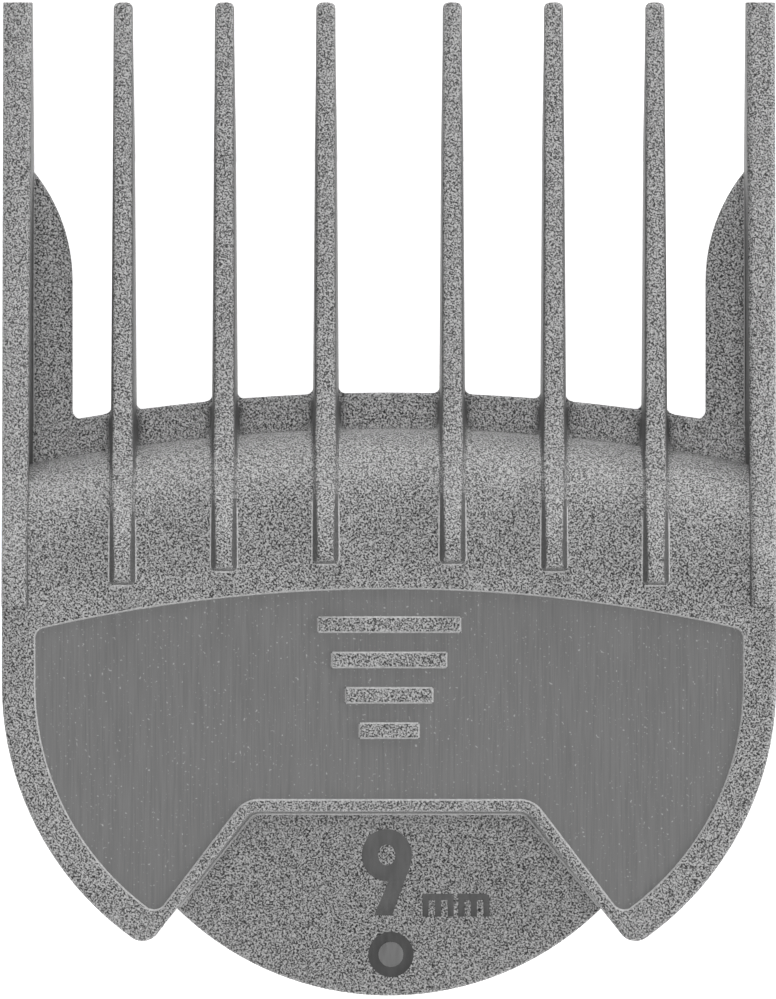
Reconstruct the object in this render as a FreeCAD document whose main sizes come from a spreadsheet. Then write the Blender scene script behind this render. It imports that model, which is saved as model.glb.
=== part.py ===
"""Guard comb for a 46 mm hair-clipper blade, 9 mm cutting length.

The frame has +Z towards the skin side, +Y towards the tooth tips and +X to the right.
The origin is at the middle of the footprint, level with the bottom of the side skirts.

The comb is one stiff moulding that carries two magnets. The moulding is drawn as regions
that meet face to face. Their front and rear places hang from the tips and from the tab,
so that a longer comb grows in the middle of its cover.
"""
import FreeCAD, Part
import os
import Sketcher

Vector = FreeCAD.Vector

SIZES = {
    # Overall
    "comb_length": 64.9,
    "blade_width": 46.0,
    "blade_gap": 0.2,         # clearance on each side of the blade
    "side_wall": 2.0,
    "cut_length": 9.0,
    # Levels
    "seat_height": 4.5,       # the blade's skin face rests here
    "blade_edge": 0.8,        # from the seat down to the cutting plane
    "plate_top": 18.0,
    "cover_skin": 1.6,
    "ridge_rise": 2.5,        # ridge above the cover
    # Front, counted back from the tips
    "tooth_overhang": 10.75,  # tips ahead of the blade's edge
    "free_blade": 14.7,       # blade edge ahead of the front band
    "band_depth": 2.4,
    "band_thickness": 1.5,
    "band_sweep": 122.0,
    "front_wall": 1.6,
    "bend_radius": 5.1,
    # Teeth
    "centre_pitch": 8.26,     # between the two middle teeth
    "tooth_pitch": 6.61,
    "tooth_root_half": 1.04,
    "tooth_tip_half": 0.74,
    "tooth_draft": 1.0,
    "tip_depth": 2.2,
    "slope_angle": 12.0,
    "bend_angle": 31.0,
    "root_setback": 3.6,
    "crest_setback": 1.6,
    "root_sweep": 104.0,
    "crest_radius": 6.8,
    "flow_radius": 20.5,
    "tip_clearance": 0.4,
    "stop_drop": 0.8,         # front stop below the seat
    "skirt_front": 6.0,       # skirt ends this far behind the blade edge
    # Wings
    "wing_width": 2.5,
    "wing_thickness": 1.2,
    "wing_round": 11.4,
    "wing_lead": 7.4,
    # Rear
    "body_radius": 20.26,
    "body_margin": 0.15,      # body outline ahead of the tab's end
    "corner_radius": 1.2,
    "rear_wall": 1.6,
    "notch_depth": 12.15,
    "notch_half": 9.0,
    "notch_angle": 37.4,
    "notch_radius": 1.0,
    "tab_radius": 19.7,
    "tab_thickness": 1.5,
    # Panel and its plain bars
    "panel_recess": 0.25,
    "panel_rim": 2.2,
    "panel_notch_rim": 0.58,
    "panel_sweep": 101.5,
    "panel_setback": 1.74,
    "bar_height": 1.1,
    "bar_pitch": 2.3,
    "bar_width": 9.4,
    "bar_step": 1.8,
    # Magnets
    "magnet_radius": 3.0,
    "magnet_height": 2.4,
    "magnet_inset": 0.1,
    "glue_gap": 0.05,
    "boss_wall": 1.2,
    "magnet_offset": 12.0,
    "boss_clearance": 0.44,   # boss behind the front wall's inner face
}
BAR_COUNT = 4
TEETH_PER_SIDE = 3

doc = FreeCAD.newDocument("guard_comb")
sheet = doc.addObject("Spreadsheet::Sheet", "sizes")
for row, (alias, number) in enumerate(SIZES.items(), start=1):
    sheet.set(f"A{row}", alias)
    sheet.set(f"B{row}", str(number))
    sheet.setAlias(f"B{row}", alias)
doc.recompute()


# ---------------------------------------------------------------- places shared by the sub-parts
def size(text):
    """Turn the sheet's aliases in an expression into references to the sheet."""
    for alias in sorted(SIZES, key=len, reverse=True):
        text = text.replace(f"<{alias}>", f"sizes.{alias}")
    return text


def value(expression):
    """Evaluate an expression now, for choices that a property can't be bound to."""
    return float(sheet.evalExpression(expression))


def sagitta(radius, across):
    """How far an arc has fallen back at a distance from the middle."""
    return f"({radius} - sqrt(({radius})^2 - ({across})^2))"


INNER_HALF = size("(<blade_width> / 2 + <blade_gap>)")
HALF = size(f"({INNER_HALF} + <side_wall>)")
TIP_Y = size("(<comb_length> / 2)")
BLADE_Y = size(f"({TIP_Y} - <tooth_overhang>)")
BAND_Y = size(f"({BLADE_Y} - <free_blade>)")
BEND_Y = size(f"({BAND_Y} - <band_depth> - <bend_radius>)")
ROOT_Y = size(f"({BEND_Y} - <root_setback>)")
CREST_Y = size(f"({BEND_Y} - <crest_setback>)")
PANEL_Y = size(f"({ROOT_Y} - <panel_setback>)")
TAB_Y = size("(-<comb_length> / 2)")
REAR_Y = size(f"({TAB_Y} + <body_margin>)")
NOTCH_Y = size(f"({TAB_Y} + <notch_depth>)")
SWEEP_CENTRE = size(f"({BAND_Y} - <band_sweep>)")
WALL_SWEEP = size("(<band_sweep> - <band_depth>)")
BEND_SWEEP = size(f"({WALL_SWEEP} - <bend_radius>)")
SKIRT_Y = size(f"({BEND_Y} - {sagitta(BEND_SWEEP, HALF)})")
# The rear corners are as round as the straight side beside them leaves room for.
BODY_RADIUS = size(f"min(<body_radius>; {SKIRT_Y} - {REAR_Y} - <side_wall>; {HALF} - <side_wall>)")
CORNER_Y = f"({REAR_Y} + {BODY_RADIUS})"

SEAT_Z = size("<seat_height>")
TOP_Z = size("<plate_top>")
UNDERSIDE_Z = size("(<plate_top> - <cover_skin>)")
BAND_TOP_Z = size("(<seat_height> + <band_thickness>)")
RIDGE_Z = size("(<plate_top> + <ridge_rise>)")
SLOPE = size("tan(<slope_angle> * 1 deg)")
DROP = size("tan(<bend_angle> * 1 deg)")
# The crest stands one cutting length off the cutting plane, square to its own slope.
TIP_Z = size(
    "(<seat_height> - <blade_edge> + <cut_length> / cos(<slope_angle> * 1 deg)"
    f" - <tooth_overhang> * {SLOPE})"
)


# ---------------------------------------------------------------- drawing helpers
def bind(thing, **expressions):
    """Bind properties to the sheet; a double underscore stands for a dot."""
    for name, expression in expressions.items():
        thing.setExpression(name.replace("__", "."), expression)
    return thing


def box(name, x, y, z):
    """A box between pairs of low and high expressions."""
    made = doc.addObject("Part::Box", name)
    bind(made, Length=f"{x[1]} - ({x[0]})", Width=f"{y[1]} - ({y[0]})", Height=f"{z[1]} - ({z[0]})")
    return bind(made, Placement__Base__x=x[0], Placement__Base__y=y[0], Placement__Base__z=z[0])


def cylinder(name, radius, x, y, z):
    """An upright cylinder; z is its low and high expression."""
    made = doc.addObject("Part::Cylinder", name)
    bind(made, Radius=radius, Height=f"{z[1]} - ({z[0]})")
    return bind(made, Placement__Base__x=x, Placement__Base__y=y, Placement__Base__z=z[0])


def polygon(name, corners):
    """A closed sketch whose every corner is bound to the sheet."""
    sketch = doc.addObject("Sketcher::SketchObject", name)
    start = [Vector(value(across), value(along), 0) for across, along in corners]
    count = len(corners)
    for index in range(count):
        sketch.addGeometry(Part.LineSegment(start[index], start[(index + 1) % count]))
    for index in range(count):
        sketch.addConstraint(Sketcher.Constraint("Coincident", index, 2, (index + 1) % count, 1))
    for index, (across, along) in enumerate(corners):
        for kind, place, expression in (
            ("DistanceX", start[index].x, across),
            ("DistanceY", start[index].y, along),
        ):
            row = sketch.addConstraint(Sketcher.Constraint(kind, -1, 1, index, 1, place))
            sketch.setExpression(f"Constraints[{row}]", expression)
    return sketch


def extrude(name, sketch, length, taper="0"):
    made = doc.addObject("Part::Extrusion", name)
    made.Base = sketch
    made.DirMode = "Normal"
    made.Solid = True
    return bind(made, LengthFwd=length, TaperAngle=taper)


def upright(name, corners, z, taper="0"):
    """A prism that stands on a plan outline."""
    sketch = polygon(f"{name}_plan", corners)
    bind(sketch, Placement__Base__z=z[0])
    return extrude(name, sketch, f"{z[1]} - ({z[0]})", taper)


def sideways(name, corners, x):
    """A prism that runs along X, from a side view whose corners are (Y, Z)."""
    sketch = polygon(f"{name}_side", corners)
    turn = FreeCAD.Rotation(Vector(0, 1, 0), Vector(0, 0, 1), Vector(1, 0, 0), "XYZ")
    sketch.Placement = FreeCAD.Placement(Vector(0, 0, 0), turn)
    bind(sketch, Placement__Base__x=x[0])
    return extrude(name, sketch, f"{x[1]} - ({x[0]})")


def cut(name, base, tool):
    made = doc.addObject("Part::Cut", name)
    made.Base = base
    made.Tool = tool
    return made


def common(name, base, tool):
    made = doc.addObject("Part::Common", name)
    made.Base = base
    made.Tool = tool
    return made


def fuse(name, *shapes):
    made = doc.addObject("Part::MultiFuse", name)
    made.Shapes = list(shapes)
    return made


def round_edges(name, base, radius, chosen):
    """Fillet the edges whose middle passes the test called chosen."""
    doc.recompute()
    edges = []
    for index, edge in enumerate(base.Shape.Edges, start=1):
        if chosen(edge):
            edges.append((index, radius, radius))
    if not edges:
        raise RuntimeError(f"{name}: no edge to round")
    made = doc.addObject("Part::Fillet", name)
    made.Base = base
    made.Edges = edges
    return made


def is_upright(edge):
    """True for a straight edge along Z."""
    low, high = edge.Vertexes[0].Point, edge.Vertexes[-1].Point
    return abs(low.z - high.z) > 0.01 and abs(low.x - high.x) + abs(low.y - high.y) < 1e-6


def middle(edge):
    return edge.CenterOfMass


# ---------------------------------------------------------------- the body's plan
def notch(name, inset, z):
    """The tapered bay over the tab, grown outwards by inset."""
    angle = size("(<notch_angle> * 1 deg)")
    top_y = f"({NOTCH_Y} + {inset})"
    half = size(f"(<notch_half> + ({inset}) * (cos{angle} - (1 - sin{angle}) * tan{angle}))")
    low_y = f"({TAB_Y} - 1)"
    low_half = f"({half} + ({top_y} - {low_y}) * tan{angle})"
    corners = [
        (f"-{low_half}", low_y),
        (low_half, low_y),
        (half, top_y),
        (f"-{half}", top_y),
    ]
    prism = upright(f"{name}_prism", corners, z)
    top = value(top_y)
    radius = value(size(f"<notch_radius> + {inset}"))
    return round_edges(name, prism, radius, lambda e: is_upright(e) and abs(middle(e).y - top) < 0.01)


def body(name, inset, notch_inset, z):
    """The body's plan without its tab, shrunk by inset and open towards the front."""
    half = f"({HALF} - {inset})"
    block = box(f"{name}_block", (f"-{half}", half), (f"{REAR_Y} + {inset}", BLADE_Y), z)
    rear = value(f"{REAR_Y} + {inset}")
    radius = value(f"{BODY_RADIUS} - {inset}")
    rounded = round_edges(
        f"{name}_rounded", block, radius, lambda e: is_upright(e) and abs(middle(e).y - rear) < 0.01
    )
    return cut(f"{name}_open", rounded, notch(f"{name}_notch", notch_inset, z))


def body_with_round_corners(name, z):
    """The outer plan, with the two points beside the tab rounded off."""
    sharp = body(name, "0", "0", z)
    limit = value(NOTCH_Y) - 2 * value(size("<notch_radius>"))
    radius = value(size("<corner_radius>"))
    return round_edges(name, sharp, radius, lambda e: is_upright(e) and middle(e).y < limit)


subparts = {}


def keep(label, thing):
    thing.Label = label
    subparts[label] = thing
    return thing


# ---------------------------------------------------------------- cover, with its recessed panel
def cover_plate():
    skin = body_with_round_corners("cover_outline", (UNDERSIDE_Z, TOP_Z))
    behind_bend = cylinder("cover_sweep", BEND_SWEEP, "0", SWEEP_CENTRE, ("0", RIDGE_Z))
    plate = common("cover_blank", skin, behind_bend)

    floor_z = size("(<plate_top> - <panel_recess>)")
    above_z = size("(<plate_top> + 1)")
    field = body("panel_outline", size("<panel_rim>"), size("<panel_notch_rim>"), (floor_z, above_z))
    panel_centre = size(f"({PANEL_Y} - <panel_sweep>)")
    panel_arc = cylinder("panel_sweep_face", size("<panel_sweep>"), "0", panel_centre, (floor_z, above_z))
    recess = common("panel_recess_blank", field, panel_arc)

    bars = []
    for index in range(BAR_COUNT):
        half = size(f"((<bar_width> - {index} * <bar_step>) / 2)")
        front = size(f"({PANEL_Y} - <bar_pitch> * {index + 1} + <bar_height> / 2)")
        rear = size(f"({front} - <bar_height>)")
        bars.append(box(f"bar_{index + 1}", (f"-{half}", half), (rear, front), (floor_z, above_z)))
    recess = cut("panel_recess_with_bars", recess, fuse("bars", *bars))
    return keep("cover_plate", cut("cover_plate", plate, recess))


# ---------------------------------------------------------------- front wall and front band
def front_core():
    """Everything inside the outer face of the front bend, down to the base."""
    plain = cylinder("core_plain", WALL_SWEEP, "0", SWEEP_CENTRE, ("0", TOP_Z))
    top = value(TOP_Z)
    radius = value(size("<bend_radius>"))
    return round_edges(
        "core", plain, radius, lambda e: not is_upright(e) and abs(middle(e).z - top) < 0.01
    )


def front_wall(core):
    inner_sweep = size(f"({WALL_SWEEP} - <front_wall>)")
    plain = cylinder("hollow_plain", inner_sweep, "0", SWEEP_CENTRE, ("0", UNDERSIDE_Z))
    top = value(UNDERSIDE_Z)
    radius = value(size("<bend_radius> - <front_wall>"))
    hollow = round_edges(
        "hollow", plain, radius, lambda e: not is_upright(e) and abs(middle(e).z - top) < 0.01
    )
    shell = cut("front_shell", core, hollow)
    reach = box("front_reach", (f"-{INNER_HALF}", INNER_HALF), (f"{SKIRT_Y} - 1", BLADE_Y),
                (BAND_TOP_Z, RIDGE_Z))
    ahead = cut("front_ahead", reach, cylinder("front_sweep", BEND_SWEEP, "0", SWEEP_CENTRE, ("0", RIDGE_Z)))
    return keep("front_wall", common("front_wall", shell, ahead))


def front_band():
    outer = cylinder("band_outer", size("<band_sweep>"), "0", SWEEP_CENTRE, (SEAT_Z, BAND_TOP_Z))
    inner_sweep = size(f"({WALL_SWEEP} - <front_wall>)")
    inner = cylinder("band_inner", inner_sweep, "0", SWEEP_CENTRE, (SEAT_Z, BAND_TOP_Z))
    reach = box("band_reach", (f"-{INNER_HALF}", INNER_HALF), (f"{SKIRT_Y} - 1", BLADE_Y),
                (SEAT_Z, BAND_TOP_Z))
    return keep("front_band", common("front_band", cut("band_ring", outer, inner), reach))


# ---------------------------------------------------------------- side and rear walls
def side_walls():
    for side, low, high in (("left", f"-{HALF}", f"-{INNER_HALF}"), ("right", INNER_HALF, HALF)):
        label = f"{side}_side_wall"
        keep(label, box(label, (low, high), (CORNER_Y, SKIRT_Y), ("0", UNDERSIDE_Z)))


def rear_walls():
    levels = (SEAT_Z, UNDERSIDE_Z)
    thickness = size("<rear_wall>")
    outer = body_with_round_corners("wall_outline", levels)
    ring = cut("wall_ring", outer, body("wall_hollow", thickness, thickness, levels))
    beside_tab = notch("wall_band", thickness, levels)
    bay_wall = common("bay_wall", ring, beside_tab)
    curved_wall = cut("curved_wall", ring, beside_tab)
    notch_half = size("<notch_half>")
    middle_x = (f"-{notch_half}", notch_half)
    rear_y = (f"{TAB_Y} - 1", CORNER_Y)
    keep("rear_step_wall", common("rear_step_wall", bay_wall, box("step_reach", middle_x, rear_y, levels)))
    for side, outward, inward in (
        ("left", (f"-{HALF}", f"-{notch_half}"), (f"-{HALF}", "0")),
        ("right", (notch_half, HALF), ("0", HALF)),
    ):
        diagonal = box(f"{side}_diagonal_reach", outward, rear_y, levels)
        keep(f"{side}_diagonal_wall", common(f"{side}_diagonal_wall", bay_wall, diagonal))
        corner = box(f"{side}_corner_reach", inward, rear_y, levels)
        keep(f"{side}_corner_wall", common(f"{side}_corner_wall", curved_wall, corner))


def number_tab():
    levels = (SEAT_Z, size("(<seat_height> + <tab_thickness>)"))
    disc = cylinder("tab_disc", size("<tab_radius>"), "0", size(f"({TAB_Y} + <tab_radius>)"), levels)
    return keep("number_tab", common("number_tab", disc, notch("tab_bay", "0", levels)))


# ---------------------------------------------------------------- teeth
def crest(name, across, underside, x):
    """A tooth's side view: flat ridge, bend, then a straight slope to the tip."""
    back = sagitta(size("<root_sweep>"), across)
    root_y = f"({ROOT_Y} - {back})"
    crest_y = f"({CREST_Y} - {back})"
    flow_y = f"(({RIDGE_Z} + {crest_y} * {DROP} - {TIP_Z} - {TIP_Y} * {SLOPE}) / ({DROP} - {SLOPE}))"
    flow_z = f"({TIP_Z} + ({TIP_Y} - {flow_y}) * {SLOPE})"
    tip_low = size(f"({TIP_Z} - <tip_depth>)")
    corners = [(root_y, RIDGE_Z), (crest_y, RIDGE_Z), (flow_y, flow_z), (TIP_Y, TIP_Z), (TIP_Y, tip_low)]
    corners += underside + [(root_y, underside[-1][1])]
    sharp = sideways(f"{name}_profile", corners, x)

    def at(along, up):
        place = Vector(0, value(along), value(up))
        return lambda e: abs(middle(e).y - place.y) < 0.01 and abs(middle(e).z - place.z) < 0.01

    bent = round_edges(f"{name}_bend", sharp, value(size("<crest_radius>")), at(crest_y, RIDGE_Z))
    return round_edges(f"{name}_crest", bent, value(size("<flow_radius>")), at(flow_y, flow_z))


def inner_tooth(label, across, core, band):
    stop_y = size(f"({BLADE_Y} + <tip_clearance>)")
    underside = [(stop_y, size("(<seat_height> - <stop_drop>)")), (stop_y, SEAT_Z)]
    reach = (size(f"({across} - 2 * <tooth_root_half>)"), size(f"({across} + 2 * <tooth_root_half>)"))
    side = crest(label, across, underside, reach)
    root, tip = size("<tooth_root_half>"), size("<tooth_tip_half>")
    back_y, front_y = f"({ROOT_Y} - 4)", f"({TIP_Y} + 2)"
    corners = [
        (f"{across} - {root}", back_y),
        (f"{across} + {root}", back_y),
        (f"{across} + {tip}", front_y),
        (f"{across} - {tip}", front_y),
    ]
    drafted = upright(f"{label}_drafted", corners, ("0", f"({RIDGE_Z} + 1)"), size("-<tooth_draft>"))
    blank = common(f"{label}_blank", side, drafted)
    return keep(label, cut(label, blank, fuse(f"{label}_seat", core, band)))


def outer_tooth(label, across, x, cover):
    """The end tooth, which runs down beside the blade as a skirt, ahead of the side wall."""
    underside = [(size(f"({BLADE_Y} - <skirt_front>)"), "0")]
    side = crest(label, across, underside, x)
    walls = box(f"{label}_walls", x, (TAB_Y, SKIRT_Y), ("0", UNDERSIDE_Z))
    return keep(label, cut(label, side, fuse(f"{label}_seat", cover, walls)))


def teeth(core, band, cover):
    mid_half = size(f"({INNER_HALF} + <side_wall> / 2)")
    outer_tooth("tooth_1", f"-{mid_half}", (f"-{HALF}", f"-{INNER_HALF}"), cover)
    outer_tooth("tooth_8", mid_half, (INNER_HALF, HALF), cover)
    made = []
    for index in range(TEETH_PER_SIDE):
        place = size(f"(<centre_pitch> / 2 + {index} * <tooth_pitch>)")
        made.append(inner_tooth(f"tooth_{4 - index}", f"-{place}", core, band))
        made.append(inner_tooth(f"tooth_{5 + index}", place, core, band))
    return made


# ---------------------------------------------------------------- wings
def wings(inner_teeth):
    levels = (SEAT_Z, size("(<seat_height> + <wing_thickness>)"))
    lead_y = size(f"({BLADE_Y} - <wing_lead>)")
    near = size(f"({INNER_HALF} - <wing_width>)")
    centre = size(f"({near} + <wing_round>)")
    band_face = cylinder("wing_band_face", size("<band_sweep>"), "0", SWEEP_CENTRE, levels)
    clear_of = fuse("wing_limits", band_face, *inner_teeth)
    for side, sign, x in (
        ("left", "-", (f"-{INNER_HALF}", f"-{near}")),
        ("right", "", (near, INNER_HALF)),
    ):
        straight = box(f"{side}_wing_straight", x, (SKIRT_Y, lead_y), levels)
        lead = box(f"{side}_wing_lead", x, (lead_y, BLADE_Y), levels)
        arc = cylinder(f"{side}_wing_arc", size("<wing_round>"), f"{sign}{centre}", lead_y, levels)
        plan = fuse(f"{side}_wing_plan", straight, common(f"{side}_wing_nose", lead, arc))
        keep(f"{side}_wing", cut(f"{side}_wing", plan, clear_of))


# ---------------------------------------------------------------- magnets in their bosses
def magnets(wall):
    pocket_radius = size("(<magnet_radius> + <glue_gap>)")
    boss_radius = size(f"({pocket_radius} + <boss_wall>)")
    magnet_low = size("(<seat_height> + <magnet_inset>)")
    magnet_top = size(f"({magnet_low} + <magnet_height>)")
    inner_sweep = size(f"({WALL_SWEEP} - <front_wall>)")
    fall = sagitta(inner_sweep, size("<magnet_offset>"))
    wall_y = size(f"({BAND_Y} - <band_depth> - <front_wall> - {fall})")
    place_y = size(f"({wall_y} - {boss_radius} - <boss_clearance>)")
    for side, x in (("left", size("-<magnet_offset>")), ("right", size("<magnet_offset>"))):
        post = cylinder(f"{side}_post", boss_radius, x, place_y, (SEAT_Z, UNDERSIDE_Z))
        pocket = cylinder(f"{side}_pocket", pocket_radius, x, place_y, (SEAT_Z, magnet_top))
        hollow_post = cut(f"{side}_hollow_post", post, pocket)
        keep(f"{side}_magnet_boss", cut(f"{side}_magnet_boss", hollow_post, wall))
        label = f"{side}_magnet"
        keep(label, cylinder(label, size("<magnet_radius>"), x, place_y, (magnet_low, magnet_top)))


# ---------------------------------------------------------------- build, check and write
def check():
    """Stop before anything is written if an object failed or a sub-part is unsound."""
    for thing in doc.Objects:
        if "Invalid" in thing.State or "Error" in thing.State:
            raise RuntimeError(f"{thing.Name} failed: {thing.State}")
    for label, thing in subparts.items():
        if thing.Shape.isNull() or not thing.Shape.isValid() or not thing.Shape.Solids:
            raise RuntimeError(f"{label} is not a sound solid")


def write():
    os.makedirs("parts", exist_ok=True)
    for label, thing in subparts.items():
        thing.Shape.exportStep(f"parts/{label}.step")
        low, high = thing.Shape.BoundBox.ZMin, thing.Shape.BoundBox.ZMax
        solids = len(thing.Shape.Solids)
        print(f"{label:22s} {thing.Shape.Volume:8.1f} mm3  solids {solids}  z {low:.2f} to {high:.2f}")


cover = cover_plate()
core = front_core()
wall = front_wall(core)
band = front_band()
side_walls()
rear_walls()
number_tab()
wings(teeth(core, band, cover))
magnets(wall)
doc.recompute()
check()
write()
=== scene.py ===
# %% [markdown]
# # A moulded guard comb for a hair clipper
# The comb is one stiff nylon moulding with two magnets under its cover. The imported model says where
# every region is. This lesson gives those regions the soft edges, fillets and spark-eroded grain that
# a real moulding has. Lengths are worked out in millimetres and turned into metres at the end of each
# piece, because bevels of a fifth of a millimetre are easier to read that way.

# %% Load the frame
import math
import bmesh
import bpy
from mathutils import Matrix, Vector
from mathutils.bvhtree import BVHTree


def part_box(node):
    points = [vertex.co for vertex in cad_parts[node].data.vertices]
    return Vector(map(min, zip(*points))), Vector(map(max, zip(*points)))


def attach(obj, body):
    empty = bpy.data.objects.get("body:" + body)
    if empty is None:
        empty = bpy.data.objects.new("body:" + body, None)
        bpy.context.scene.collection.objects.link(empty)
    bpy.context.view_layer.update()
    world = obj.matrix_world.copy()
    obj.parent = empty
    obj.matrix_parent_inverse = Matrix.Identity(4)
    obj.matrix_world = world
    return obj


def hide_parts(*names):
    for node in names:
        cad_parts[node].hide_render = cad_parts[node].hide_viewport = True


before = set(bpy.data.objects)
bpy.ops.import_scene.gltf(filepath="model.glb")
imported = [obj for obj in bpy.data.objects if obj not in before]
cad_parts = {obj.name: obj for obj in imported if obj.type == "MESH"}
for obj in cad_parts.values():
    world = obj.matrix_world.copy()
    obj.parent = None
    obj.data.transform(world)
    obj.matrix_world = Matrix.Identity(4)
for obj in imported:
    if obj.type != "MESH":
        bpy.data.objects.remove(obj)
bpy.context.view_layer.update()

MM = 0.001
BODY = "root"


def box_mm(node):
    """A node's lowest and highest corner in millimetres."""
    low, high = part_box(node)
    return Vector(low) / MM, Vector(high) / MM


cover_low, cover_high = box_mm("cover_plate")
band_low, band_high = box_mm("front_band")
tab_low, tab_high = box_mm("number_tab")
print("cover top", round(cover_high.z, 2), "band front", round(band_high.y, 2))

# %% [markdown]
# ## Finishes
# Nylon with glass in it is mid grey and never glossy. The mould was spark-eroded, which leaves an
# even grain about a fifth of a millimetre across. A noise pattern on Object coordinates gives the
# same grain on every region, so neighbouring regions run on with no visible join. The grain drives
# both the bump and a small change of colour, because each pit also holds a little shade.


# %% Material helpers
def new_material(name, roughness, specular):
    """A material with its Principled shader, and the Object coordinates to build on."""
    material = bpy.data.materials.new(name)
    material.use_nodes = True
    nodes, links = material.node_tree.nodes, material.node_tree.links
    shader = nodes["Principled BSDF"]
    shader.inputs["Roughness"].default_value = roughness
    shader.inputs["Specular IOR Level"].default_value = specular
    place = nodes.new("ShaderNodeTexCoord")
    return material, nodes, links, shader, place.outputs["Object"]


EVEN = (1, 1, 1)
# Noise is built on a grid. Turned like this, no flat face lies along it and shows it.
OFF_GRID = (0.55, 0.35, 0.75)


def noise(nodes, links, place, scale, detail, stretch=EVEN):
    """Noise whose features are about 1 / scale metres across."""
    mapping = nodes.new("ShaderNodeMapping")
    mapping.inputs["Scale"].default_value = stretch
    if stretch == EVEN:
        mapping.inputs["Rotation"].default_value = OFF_GRID
    links.new(place, mapping.inputs["Vector"])
    texture = nodes.new("ShaderNodeTexNoise")
    texture.inputs["Scale"].default_value = scale
    texture.inputs["Detail"].default_value = detail
    links.new(mapping.outputs["Vector"], texture.inputs["Vector"])
    return texture.outputs["Fac"]


def shade_between(nodes, links, factor, dark, light, low, high):
    """Colour that runs from dark to light as the factor goes from low to high."""
    ramp = nodes.new("ShaderNodeValToRGB")
    ramp.color_ramp.elements[0].position = low
    ramp.color_ramp.elements[1].position = high
    ramp.color_ramp.elements[0].color = (dark, dark, dark, 1)
    ramp.color_ramp.elements[1].color = (light, light, light, 1)
    links.new(factor, ramp.inputs["Fac"])
    return ramp.outputs["Color"]


def add_bump(nodes, links, shader, height, distance, strength):
    """Relief from a height; distance is its full depth in metres."""
    bump = nodes.new("ShaderNodeBump")
    bump.inputs["Distance"].default_value = distance
    bump.inputs["Strength"].default_value = strength
    links.new(height, bump.inputs["Height"])
    links.new(bump.outputs["Normal"], shader.inputs["Normal"])


# %% Grained nylon
GRAIN_SCALE = 9000


def grained_nylon():
    material, nodes, links, shader, place = new_material("grained_nylon", 0.58, 0.95)
    grain = noise(nodes, links, place, GRAIN_SCALE, 1.5)
    colour = shade_between(nodes, links, grain, 0.02, 0.43, 0.37, 0.63)
    links.new(colour, shader.inputs["Base Color"])
    add_bump(nodes, links, shader, grain, 0.00005, 0.9)
    return material


# %% Drawn nylon with painted shade, for the flanks of the teeth
# Deep narrow slots are cut with thin electrodes, so the flanks are smoother than the grained faces.
# Their colour is also darker: a painted shade on the upright flanks.
def drawn_nylon_painted_shade():
    material, nodes, links, shader, place = new_material("drawn_nylon_painted_shade", 0.5, 0.45)
    grain = noise(nodes, links, place, GRAIN_SCALE, 1.0, (1, 1, 0.35))
    # The flank colour is darker than the grained faces: painted shade.
    links.new(shade_between(nodes, links, grain, 0.105, 0.172, 0.3, 0.7), shader.inputs["Base Color"])
    add_bump(nodes, links, shader, grain, 0.00002, 0.5)
    return material


# %% Satin nylon, for the panel floor
# The panel's floor was polished along the comb, so its marks are long and thin.
def satin_nylon():
    material, nodes, links, shader, place = new_material("satin_nylon", 0.42, 0.4)
    streak = noise(nodes, links, place, 9500, 2.0, (1, 0.03, 1))
    fleck = noise(nodes, links, place, 6500, 0.5)
    streaks = shade_between(nodes, links, streak, 0.138, 0.170, 0.3, 0.7)
    flecks = shade_between(nodes, links, fleck, 0.0, 0.16, 0.70, 0.80)
    total = nodes.new("ShaderNodeMix")
    total.data_type = "RGBA"
    total.blend_type = "ADD"
    total.inputs["Factor"].default_value = 1.0
    links.new(streaks, total.inputs["A"])
    links.new(flecks, total.inputs["B"])
    links.new(total.outputs["Result"], shader.inputs["Base Color"])
    add_bump(nodes, links, shader, streak, 0.00001, 0.35)
    return material


# %% Painted highlights on edges
# A narrow edge is smoother than the grained faces and much lighter in colour: a painted highlight where
# light would glint on it.
def painted_highlight_nylon():
    material, nodes, links, shader, place = new_material("painted_highlight_edge", 0.34, 0.6)
    wear = noise(nodes, links, place, 6000, 1.0)
    # The light colour is a painted highlight.
    links.new(shade_between(nodes, links, wear, 0.36, 0.54, 0.3, 0.7), shader.inputs["Base Color"])
    return material


# %% Mark floors and magnets
def mark_floor(name, dark, light):
    material, nodes, links, shader, place = new_material(name, 0.5, 0.35)
    swirl = noise(nodes, links, place, 3000, 2.0, (1, 0.2, 1))
    links.new(shade_between(nodes, links, swirl, dark, light, 0.3, 0.7), shader.inputs["Base Color"])
    add_bump(nodes, links, shader, swirl, 0.00001, 0.3)
    return material


def nickel():
    material, nodes, links, shader, place = new_material("satin_nickel", 0.32, 0.5)
    shader.inputs["Metallic"].default_value = 1.0
    cloud = noise(nodes, links, place, 900, 3.0)
    links.new(shade_between(nodes, links, cloud, 0.50, 0.66, 0.3, 0.7), shader.inputs["Base Color"])
    add_bump(nodes, links, shader, noise(nodes, links, place, 7000, 1.0), 0.000008, 0.3)
    return material


NYLON = grained_nylon()
DRAWN_PAINTED_SHADE = drawn_nylon_painted_shade()
PAINTED_HIGHLIGHT = painted_highlight_nylon()
SATIN = satin_nylon()
NUMBER_FLOOR = mark_floor("number_floor", 0.100, 0.128)
RING_FLOOR = mark_floor("ring_floor", 0.068, 0.088)
DISC_TOP = mark_floor("disc_top", 0.145, 0.188)
NICKEL = nickel()

# %% [markdown]
# ## From a bmesh to a finished piece
# Each piece ends the same way. Its mesh is turned into metres, shaded smooth except over real corners
# and tied to the body, and the region of the model it stands for is hidden.

# %% Finish a piece
CORNER = math.radians(32)


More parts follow.
